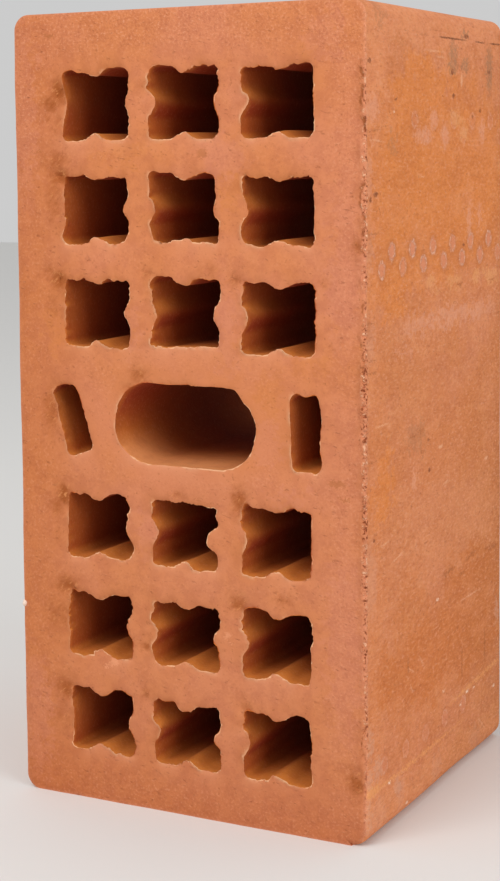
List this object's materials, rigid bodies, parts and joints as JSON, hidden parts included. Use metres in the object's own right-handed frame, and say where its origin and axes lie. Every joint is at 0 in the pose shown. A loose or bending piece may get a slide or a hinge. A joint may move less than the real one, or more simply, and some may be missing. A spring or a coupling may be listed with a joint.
{
  "type": "perforated clay brick",
  "caption": "Fired clay block with ribbed square perforations in rows, a long finger hole through its middle and a narrow slot on each side of it.",
  "frame": {"origin": "middle of the lower end, with the brick standing on its end", "axes": "+Z along the brick's length, upwards; X across the perforated faces; Y along the perforations, with the front perforated face towards -Y"},
  "size_m": [0.12, 0.12, 0.25],
  "materials": {
    "fired_clay": "matt orange terracotta, fine sandy grain, wire-cut on the perforated faces and smoother on the sides"
  },
  "bodies": {
    "root": {"perforated_brick": "fired_clay"}
  },
  "joints": []
}
